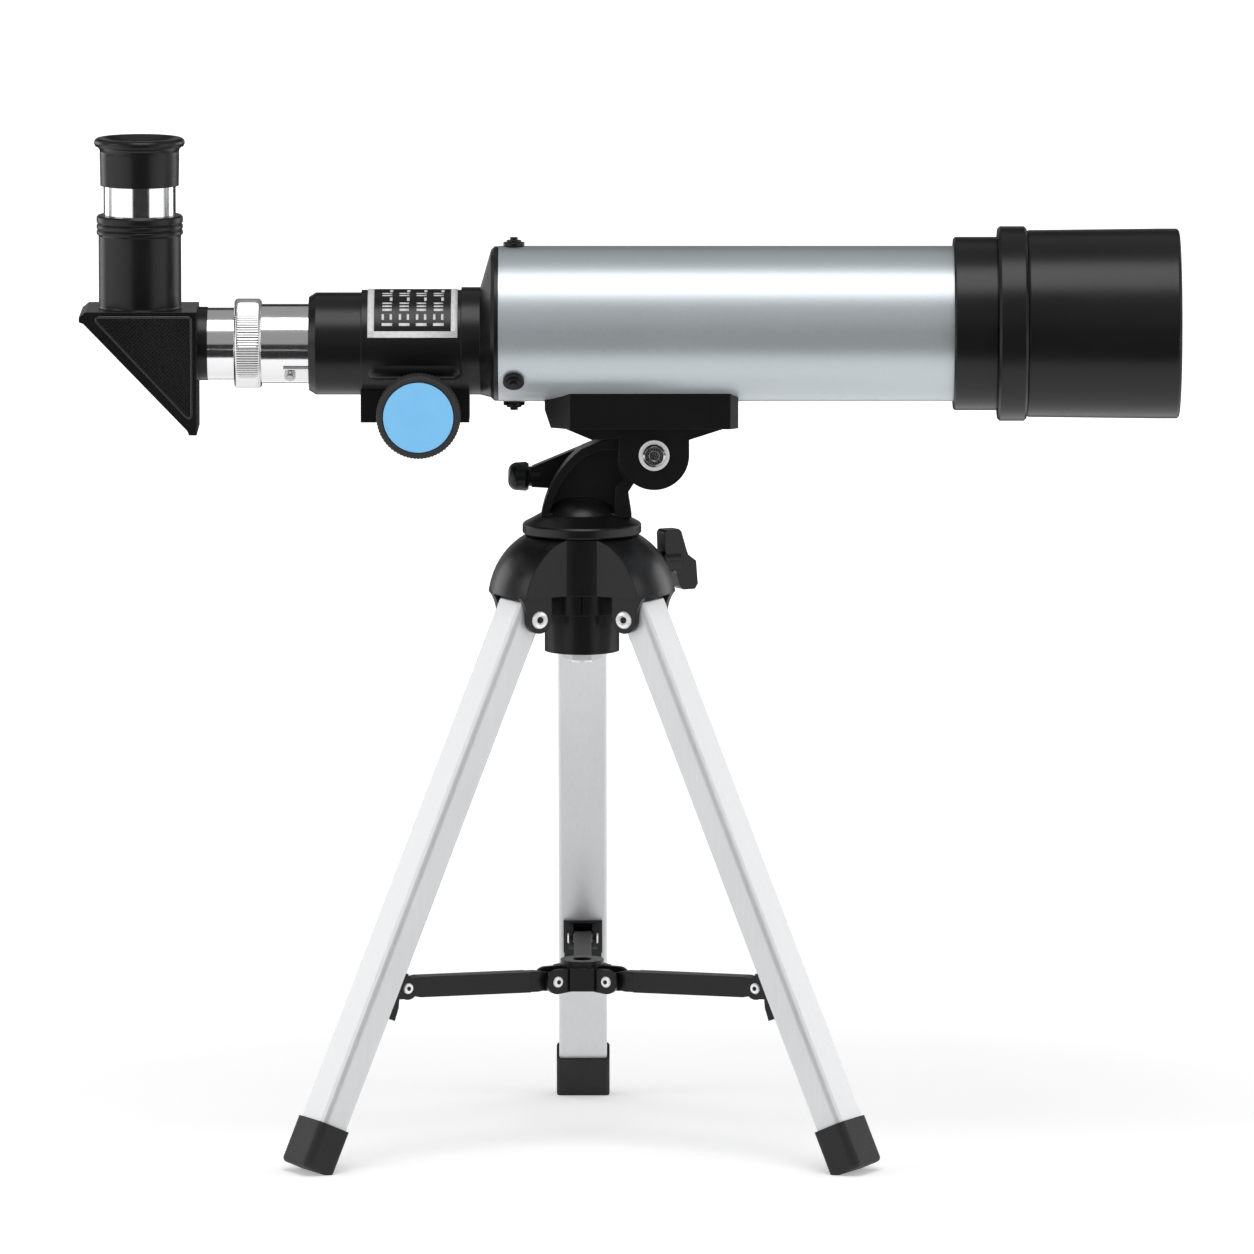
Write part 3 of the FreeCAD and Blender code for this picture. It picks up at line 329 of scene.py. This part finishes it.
def rounded_loop(points, radius, cells):
    """Closed polygon with its corners cut by quadratic curves that start radius / tan(half angle) from each
    corner."""
    rows = []
    pts = [np.asarray(p, float) for p in points]
    for i, p in enumerate(pts):
        a, b = pts[i - 1] - p, pts[(i + 1) % len(pts)] - p
        a, b = a / np.linalg.norm(a), b / np.linalg.norm(b)
        half = math.acos(float(np.clip(a @ b, -1, 1))) / 2
        reach = radius / math.tan(half)
        t = np.linspace(0, 1, cells)[:, None]
        rows.append((1 - t) ** 2 * (p + a * reach) + 2 * t * (1 - t) * p + t ** 2 * (p + b * reach))
    return densify(np.concatenate(rows), 2.0)


def turned(name, centre, axis, profile, around, ridge):
    """Ring swept round an axis: a point is centre + s * axis + r * (cos t, sin t) across it, and ridge(t, s, r)
    is added to r. The profile is a closed loop of (s, r)."""
    axis = np.asarray(axis, float)
    side = np.array([0.0, 0.0, 1.0]) if abs(axis[2]) < 0.9 else np.array([1.0, 0.0, 0.0])
    other = np.cross(axis, side)
    t = np.linspace(0, 2 * np.pi, around, endpoint=False)[:, None]
    s, r = np.asarray(profile, float).T[:, None, :]
    radius = r + ridge(t, s, r)
    points = (np.asarray(centre) + s[..., None] * axis
              + (radius * np.cos(t))[..., None] * side + (radius * np.sin(t))[..., None] * other)
    return build(name, points)


def arc_box(centre, x0, x1, a0, a1, r0, r1, cells):
    """Points and faces of a curved slab between two radii about an axis along X: a ring of four corners carried
    from angle a0 to a1, with its two ends closed."""
    t = np.radians(np.linspace(a0, a1, cells))[:, None]
    xs = np.array([x0, x1, x1, x0])[None, :]
    rs = np.array([r0, r0, r1, r1])[None, :]
    points = np.stack([centre[0] + xs + 0 * t, centre[1] - rs * np.cos(t), centre[2] + rs * np.sin(t)], axis=-1)
    quads = [[i * 4 + k, (i + 1) * 4 + k, (i + 1) * 4 + (k + 1) % 4, i * 4 + (k + 1) % 4]
             for i in range(cells - 1) for k in range(4)]
    last = (cells - 1) * 4
    quads += [[0, 1, 2, 3], [last + 3, last + 2, last + 1, last]]
    return points.reshape(-1, 3), np.array(quads)


def disc(centre, axis, radius, thick):
    """Points and faces of a thin round plate across an axis: two rings of points and their two middles."""
    count = 24
    t = np.linspace(0, 2 * np.pi, count, endpoint=False)[:, None]
    across = np.array([0.0, 0.0, 1.0])
    other = np.cross(axis, across)
    ring = centre + radius * (np.cos(t) * across + np.sin(t) * other)
    points = np.concatenate([ring - axis * thick / 2, ring + axis * thick / 2, [centre - axis * thick / 2],
                             [centre + axis * thick / 2]])
    i = np.arange(count)
    j = (i + 1) % count
    wall_a = np.stack([i, j, j + count], axis=-1)
    wall_b = np.stack([i, j + count, i + count], axis=-1)
    low = np.stack([j, i, i * 0 + 2 * count], axis=-1)
    high = np.stack([i + count, j + count, i * 0 + 2 * count + 1], axis=-1)
    return points, np.concatenate([wall_a, wall_b, low, high])


def joined(name, pieces):
    """One object from several arrays of points and faces."""
    start, points, faces = 0, [], []
    for p, q in pieces:
        points.append(p)
        faces.append(q + start)
        start += len(p)
    return mesh_object(name, np.concatenate(points), np.concatenate(faces))


def sharp_by_angle(piece, degrees):
    """Keeps edges crisp where two faces meet at more than the given angle."""
    mesh = piece.data
    bm = bmesh.new()
    bm.from_mesh(mesh)
    for edge in bm.edges:
        if len(edge.link_faces) == 2 and edge.calc_face_angle(0) > math.radians(degrees):
            edge.smooth = False
    bm.to_mesh(mesh)
    bm.free()


def put(piece, body, material, slot, *stands_for):
    """Gives a finished piece its material and its body, and hides the CAD nodes that it stands for."""
    piece.data.materials.clear()
    piece.data.materials.append(material)
    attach(piece, body)
    if stands_for:
        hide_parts(*stands_for)
    return piece


# ------------------------------------------------------------------ sizes and colours a user may change
def length(name, default, description):
    """Property for a length in metres."""
    return FloatProperty(name=name, default=default, description=description, unit="LENGTH")


def swatch(name, default, description):
    """Property for a linear colour."""
    return FloatVectorProperty(name=name, default=default, description=description, subtype="COLOR",
                               size=3, min=0, max=1)


class FinishSettings(bpy.types.PropertyGroup):
    silver: swatch("Silver", (0.55, 0.595, 0.625), "Paint of the main tube")
    black: swatch("Black", (0.0042, 0.0042, 0.0047), "Moulded plastic")
    chrome: swatch("Chrome", (0.86, 0.86, 0.87), "Bright plate of the drawtube and barrels")
    blue: swatch("Blue", (0.19, 0.53, 0.87), "Inlay of the focus knobs")
    leg: swatch("Leg", (0.74, 0.745, 0.755), "Anodised legs")


class KnurlSettings(bpy.types.PropertyGroup):
    ring_count: IntProperty(name="Ring grooves", default=110, description="Grooves round the clamp ring")
    knob_count: IntProperty(name="Knob grooves", default=72, description="Grooves round a focus knob")
    depth: length("Depth", 0.00018, "Depth of a groove")


class PanelSettings(bpy.types.PropertyGroup):
    pitch: length("Pitch", 0.0014, "Distance between the diamonds of the side panels")
    height: length("Height", 0.00032, "Height of a diamond")


class StageSettings(bpy.types.PropertyGroup):
    distance: length("Distance", 4.5, "Camera's distance from the telescope")
    rise: FloatProperty(name="Rise", default=7.6, description="Camera's angle above the horizontal, in degrees")
    width: length("Width", 0.4264, "Width of the view at the telescope")


# ------------------------------------------------------------------ operators
class TELESCOPE_OT_finishes(bpy.types.Operator):
    """Gives every CAD node its finish"""
    bl_idname = "telescope.finishes"
    bl_label = "Finishes"

    def execute(self, context):
        s = context.scene.telescope_finish
        black = tuple(s.black)
        made = {
            "tube_paint": silver_paint(tuple(s.silver)),
            "black_shell": moulded_black("black_shell", black, 0.22, 1400, 0.000015),
            "black_panel": moulded_black("black_panel", tone(black, 0.7), 0.26, 1400, 0.00001, 0.28),
            "black_hood": moulded_black("black_hood", black, 0.22, 900, 0.00001),
            "bright_chrome": polished_plate("bright_chrome", tuple(s.chrome), 0.09, 300),
            "bolt_plate": polished_plate("bolt_plate", (0.5, 0.5, 0.5), 0.12, 300),
            "screw_steel": bright_steel((0.93, 0.93, 0.93)),
            "leg_metal": anodised(tuple(s.leg)),
            "cap_blue": satin_disc(tuple(s.blue)),
            "foot_rubber": rubber(black),
            "lens_glass": coated_glass("lens_glass", (0.9, 0.93, 0.97)),
            "mirror_face": polished_plate("mirror_face", (0.92, 0.92, 0.93), 0.02, 100),
            "label_film": moulded_black("label_film", black, 0.2, 500, 0.000004),
        }
        flat = flat_black_and_rivet_shade()
        special = {"tube_baffle": flat, "lens_spacer": flat, "lens_retaining_ring": flat,
                   "tilt_bolt": made["bolt_plate"], "key_screw": made["bolt_plate"]}
        for entry in frame["record"]["subparts"]:
            node = frame["nodes"][entry["node"]]
            node.data.materials.clear()
            node.data.materials.append(special.get(entry["node"], made[entry["material_slot"]]))
        return {"FINISHED"}


class TELESCOPE_OT_clamp_ring(bpy.types.Operator):
    """Straight-knurled chrome ring at the end of the drawtube"""
    bl_idname = "telescope.clamp_ring"
    bl_label = "Clamp ring"

    def execute(self, context):
        s = context.scene.telescope_knurl
        low, high = corners("clamp_collar")
        centre = (low + high) / 2
        x0, x1 = low[0] - centre[0], high[0] - centre[0]
        loop = densify([(x0, 12.5), (x0, 14.4), (x0 + 0.5, 15.0), (x0 + 1.0, RING_BAND), (x1 - 1.0, RING_BAND),
                        (x1 - 0.5, 15.0), (x1, 14.4), (x1, RING_BORE), (x0 + 0.8, RING_BORE), (x0 + 0.8, 12.5)],
                       1.2)

        def grooves(t, x, r):
            """Depth times a sharpened cosine of the turn, only on the wide band."""
            band = np.clip((r - 14.9) / 0.3, 0, 1)
            return -s.depth / MM * band * (0.5 - 0.5 * np.cos(s.ring_count * t)) ** 0.7

        ring = turned("clamp_ring_knurl", centre, (1, 0, 0), loop, s.ring_count * 8, grooves)
        sharp_by_angle(ring, 50)
        put(ring, "clamp_ring", bpy.data.materials["bright_chrome"], "bright_chrome", "clamp_collar")
        return {"FINISHED"}


class TELESCOPE_OT_focus_knobs(bpy.types.Operator):
    """Grooved rims of the two focus knobs"""
    bl_idname = "telescope.focus_knobs"
    bl_label = "Focus knobs"

    def execute(self, context):
        s = context.scene.telescope_knurl
        for side, sign in (("near", -1.0), ("far", 1.0)):
            low, high = corners("focus_knob_" + side)
            centre = (low + high) / 2
            radius, half = (high[2] - low[2]) / 2, (high[1] - low[1]) / 2
            loop = densify([(-half, 1.55), (-half, radius - 2.4), (-half + 1.4, radius - 0.9),
                            (-half + 2.0, radius - 0.1), (-half + 2.8, radius), (half - 1.6, radius),
                            (half - 0.6, radius - 0.25), (half - 0.15, radius - 0.8), (half, radius - 1.4),
                            (half - 0.1, radius - 2.0), (half - 0.9, radius - 2.4), (half - 0.9, 1.55)], 1.6)

            def grooves(t, y, r, top=radius):
                """As on the clamp ring, but deeper, and only on the rim's widest part."""
                band = np.clip((r - top + 0.5) / 0.4, 0, 1)
                return -s.depth / MM * 1.4 * band * (0.5 - 0.5 * np.cos(s.knob_count * t)) ** 0.6

            knob = turned("focus_knob_rim_" + side, centre, (0, sign, 0), loop, s.knob_count * 8, grooves)
            sharp_by_angle(knob, 55)
            put(knob, "focus_knobs", bpy.data.materials["black_shell"], "black_hood", "focus_knob_" + side)
        return {"FINISHED"}


class TELESCOPE_OT_side_panels(bpy.types.Operator):
    """Diamond-cut panels and their raised beads on both sides of the diagonal's case"""
    bl_idname = "telescope.side_panels"
    bl_label = "Side panels"

    def execute(self, context):
        s = context.scene.telescope_panel
        low, high = corners("diagonal_case")
        right, top = low[0] + CASE_RIGHT, low[2] + CASE_TOP
        corner = np.array([right - PANEL_INSET, top - PANEL_INSET])
        down = np.array([right - PANEL_INSET, low[2] + PANEL_TIP])
        across = np.array([low[0] + PANEL_TIP, top - PANEL_INSET])
        pitch, height = s.pitch / MM, s.height / MM

        def wave(p):
            """Straight-sided wave from 0 to 1 and back over one pitch."""
            return np.abs(2 * (p / pitch - np.floor(p / pitch + 0.5)))

        for side, y_case, out in (("near", low[1], -1.0), ("far", high[1], 1.0)):
            a = np.linspace(0, 1, PANEL_CELLS)[:, None, None]
            b = np.linspace(0, 1, PANEL_CELLS)[None, :, None]
            flat = corner + a * ((1 - b) * (down - corner) + b * (across - corner))
            rise = height * np.minimum(wave(flat[..., 0] + flat[..., 1]), wave(flat[..., 0] - flat[..., 1])) * 2
            y = y_case + out * PANEL_PROUD + out * np.clip(rise, 0, height)
            grid = np.stack([flat[..., 0], y, flat[..., 1]], axis=-1)
            sheet = build("diagonal_panel_" + side, grid, False, False, 0.001)
            wall = sheet.modifiers.new("wall", "SOLIDIFY")
            wall.thickness, wall.offset = 0.00008, 0.0
            put(sheet, "diagonal", bpy.data.materials["black_panel"], "black_shell")
            self.bead(side, y_case, out, [corner, down, across])
        return {"FINISHED"}

    def bead(self, side, y_case, out, points):
        """Round bead carried along the panel's outline, whose corners are arcs."""
        path = rounded_loop([p + (p - sum(points) / 3) * BEAD_SPREAD for p in points], BEAD_CORNER, 10)
        forward = np.roll(path, -1, axis=0) - np.roll(path, 1, axis=0)
        forward /= np.linalg.norm(forward, axis=1)[:, None]
        across = np.stack([forward[:, 1], -forward[:, 0]], axis=-1)
        t = np.linspace(0, 2 * np.pi, 12, endpoint=False)
        flat = path[:, None, :] + across[:, None, :] * (BEAD_HALF * np.cos(t))[None, :, None]
        y = y_case + out * BEAD_RISE * np.sin(t)[None, :] + 0 * flat[..., 0]
        piece = build("diagonal_bead_" + side, np.stack([flat[..., 0], y, flat[..., 1]], axis=-1))
        put(piece, "diagonal", bpy.data.materials["black_hood"], "black_shell")


class TELESCOPE_OT_label(bpy.types.Operator):
    """Silver border and plain tick marks on the focuser's label"""
    bl_idname = "telescope.label"
    bl_label = "Label"

    def execute(self, context):
        low, high = corners("label_plate")
        centre = np.array([0.0, middle("drawtube")[1], high[2] - LABEL_RADIUS])
        x0, x1 = low[0], high[0]
        over, under = LABEL_RADIUS + 0.12, LABEL_RADIUS - 0.1
        border = [arc_box(centre, x0, x1, LABEL_LOW, LABEL_LOW + LABEL_TURN, under, over, 8),
                  arc_box(centre, x0, x0 + LABEL_EDGE, LABEL_LOW, LABEL_HIGH, under, over, 60),
                  arc_box(centre, x1 - LABEL_EDGE, x1, LABEL_LOW, LABEL_HIGH, under, over, 60),
                  arc_box(centre, x0, x1, LABEL_HIGH - LABEL_TURN, LABEL_HIGH, under, over, 8)]
        ink = white_ink()
        put(joined("label_border", border), "optical_tube", ink, "label_film")
        marks = []
        for column in range(4):
            x = x0 + 6.6 + column * 5.8
            for start, span, left, right in TICKS:
                marks.append(arc_box(centre, x + left, x + right, start, start + span, under,
                                     LABEL_RADIUS + 0.05, 5))
        put(joined("label_marks", marks), "optical_tube", ink, "label_film")
        return {"FINISHED"}


class TELESCOPE_OT_rivet_hole_shade(bpy.types.Operator):
    """Painted shade: dark discs in the hollow middles of the tubular rivets"""
    bl_idname = "telescope.rivet_holes"
    bl_label = "Rivet holes"

    def execute(self, context):
        axis = middle("pan_bolt")
        back = middle("bracket_rivet_back")
        # name, body, distance from the axis, height, half the rivet's length, radius of the hole
        for name, body, out, height, half, hole in (
                ("leg_rivet_hole_shade", "tripod", LEG_RIVET_OUT, middle("leg_rivets")[2], 11.26, 1.15),
                ("bracket_rivet_hole_shade", "tripod", back[1] - axis[1], back[2], 5.4, 0.75),
                ("hub_rivet_hole_shade", "brace", HUB_RIVET_OUT, middle("hub_rivets")[2], 5.5, 0.75)):
            pieces = []
            for turn in np.radians((90, 210, 330)):
                place = np.array([axis[0] + out * np.cos(turn), axis[1] + out * np.sin(turn), height])
                for side in (-1.0, 1.0):
                    along = side * np.array([-np.sin(turn), np.cos(turn), 0.0])
                    # Each disc is painted shade in the mouth of a rivet's hollow, one at either end of the
                    # rivet.
                    pieces.append(disc(place + along * half, along, hole, 0.12))
            put(joined(name, pieces), body, bpy.data.materials["flat_black"], "black_shell")
        return {"FINISHED"}


class TELESCOPE_OT_stage(bpy.types.Operator):
    """Pale floor with painted shade round the telescope, soft lights, dark reflection cards and the camera"""
    bl_idname = "telescope.stage"
    bl_label = "Stage"

    def execute(self, context):
        s = context.scene.telescope_stage
        low = Vector(CAD_BOX[0])
        axis = middle("pan_bolt")
        target = Vector((axis[0] + AIM_RIGHT, axis[1], low.z / MM + AIM_UP)) * MM
        rise = math.radians(s.rise)
        camera_data = bpy.data.cameras.new("view")
        camera_data.sensor_width = 36.0
        camera_data.lens = camera_data.sensor_width * s.distance / s.width
        camera_data.clip_end = 60
        camera = bpy.data.objects.new("view", camera_data)
        camera.location = target + Vector((0, -math.cos(rise), math.sin(rise))) * s.distance
        camera.rotation_euler = (math.radians(90) - rise, 0, 0)
        context.scene.collection.objects.link(camera)
        context.scene.camera = camera
        self.floor()
        self.world(context.scene)
        self.lamp("left", target + Vector((-1.7, -0.6, 0.7)), target, 0.9, 5.5)
        self.lamp("right", target + Vector((1.7, -0.6, 0.7)), target, 0.9, 4.5)
        self.lamp("top", target + Vector((0.0, -0.7, 1.7)), target, 1.15, 15)
        self.lamp("rim_left", target + Vector((-1.5, 1.1, 0.3)), target, 0.9, 5)
        self.lamp("rim_right", target + Vector((1.5, 1.1, 0.3)), target, 0.9, 5)
        floor = Vector((target.x, target.y, low.z + 0.002))
        wide, tall, deep = Vector((1, 0, 0)), Vector((0, 0, 1)), Vector((0, 1, 0))
        self.card("card_front", target - deep * 1.2, wide * 0.62, tall * 0.17)
        self.card("card_low", floor - deep * 0.75, wide * 0.62, deep * 0.42)
        self.card("card_back", target + deep * 1.5 + tall * 0.9, wide * 1.6, tall * 0.35)
        self.card("card_far", floor + deep * 2.4, wide * 3.4, deep * 1.95)
        context.scene.view_settings.view_transform = "Standard"
        return {"FINISHED"}

    def floor(self):
        """Wide sheet just under the feet, which glows more the further it is from the telescope: its dimmer
        light near the telescope is painted shade round it.
        """
        t = np.linspace(-6000, 6000, 5)
        x, y = np.meshgrid(t, t, indexing="ij")
        sheet = build("floor", np.stack([x, y, 0 * x - 0.02], axis=-1), False, False)
        f = Finish("pale_floor")
        speckle = f.noise(40, 2.0)
        reach = f.add("ShaderNodeVectorMath", {"operation": "LENGTH"}, {0: f.where}, 1)
        # Painted shade: the emission rises from a third within 0.22 m of the telescope to full beyond about 1.5
        # m.
        painted_shade_glow = f.mix(reach.over(0.22, 1.3), (0.33, 0.33, 0.33), (1.0, 1.0, 1.0))
        shade = f.mix(speckle, (0.9, 0.9, 0.9), (0.93, 0.93, 0.93))
        sheet.data.materials.append(f.done(Base_Color=shade, Roughness=0.9, Emission_Color=painted_shade_glow,
                                           Emission_Strength=1.0))

    def world(self, scene):
        """White to the camera, and a softer grey to everything else."""
        world = bpy.data.worlds.new("studio")
        world.use_nodes = True
        tree = world.node_tree
        back = tree.nodes["Background"]
        path = tree.nodes.new("ShaderNodeLightPath")
        strength = tree.nodes.new("ShaderNodeMapRange")
        strength.inputs[3].default_value = 0.33
        strength.inputs[4].default_value = 1.0
        tree.links.new(path.outputs["Is Camera Ray"], strength.inputs[0])
        tree.links.new(strength.outputs[0], back.inputs["Strength"])
        back.inputs["Color"].default_value = (1, 1, 1, 1)
        scene.world = world

    def lamp(self, name, place, target, size, watts):
        """Square area light that faces the target."""
        data = bpy.data.lights.new(name, "AREA")
        data.shape, data.size, data.energy = "SQUARE", size, watts
        lamp = bpy.data.objects.new(name, data)
        lamp.location = place
        lamp.rotation_euler = (target - place).to_track_quat("-Z", "Y").to_euler()
        bpy.context.scene.collection.objects.link(lamp)

    def card(self, name, centre, across, up):
        """Black card that only shows in reflections: centre plus or minus across and up."""
        points = np.array([[centre - across - up, centre - across + up],
                           [centre + across - up, centre + across + up]])
        sheet = build(name, points / MM, False, False)
        f = Finish(name)
        sheet.data.materials.append(f.done(Base_Color=(0.01, 0.01, 0.01, 1), Roughness=1.0))
        sheet.visible_camera = sheet.visible_shadow = sheet.visible_diffuse = False


class TELESCOPE_PT_panel(bpy.types.Panel):
    """Lists the telescope's operators and their settings"""
    bl_idname = "TELESCOPE_PT_panel"
    bl_label = "Telescope"
    bl_space_type = "VIEW_3D"
    bl_region_type = "UI"
    bl_category = "Telescope"

    def draw(self, context):
        for operator in OPERATORS:
            self.layout.operator(operator.bl_idname)
        for key in SETTINGS:
            group = getattr(context.scene, key)
            for name in group.__annotations__:
                self.layout.prop(group, name)


SETTINGS = {"telescope_finish": FinishSettings, "telescope_knurl": KnurlSettings,
            "telescope_panel": PanelSettings, "telescope_stage": StageSettings}
OPERATORS = (TELESCOPE_OT_finishes, TELESCOPE_OT_clamp_ring, TELESCOPE_OT_focus_knobs, TELESCOPE_OT_side_panels,
             TELESCOPE_OT_label, TELESCOPE_OT_rivet_hole_shade, TELESCOPE_OT_stage)


def register():
    for group in SETTINGS.values():
        bpy.utils.register_class(group)
    for operator in OPERATORS + (TELESCOPE_PT_panel,):
        bpy.utils.register_class(operator)
    for key, group in SETTINGS.items():
        setattr(bpy.types.Scene, key, PointerProperty(type=group))


def unregister():
    for key in SETTINGS:
        delattr(bpy.types.Scene, key)
    for item in (TELESCOPE_PT_panel,) + OPERATORS + tuple(SETTINGS.values()):
        bpy.utils.unregister_class(item)


def main():
    register()
    for operator in OPERATORS:
        group, name = operator.bl_idname.split(".")
        getattr(getattr(bpy.ops, group), name)()


if __name__ == "__main__":
    main()
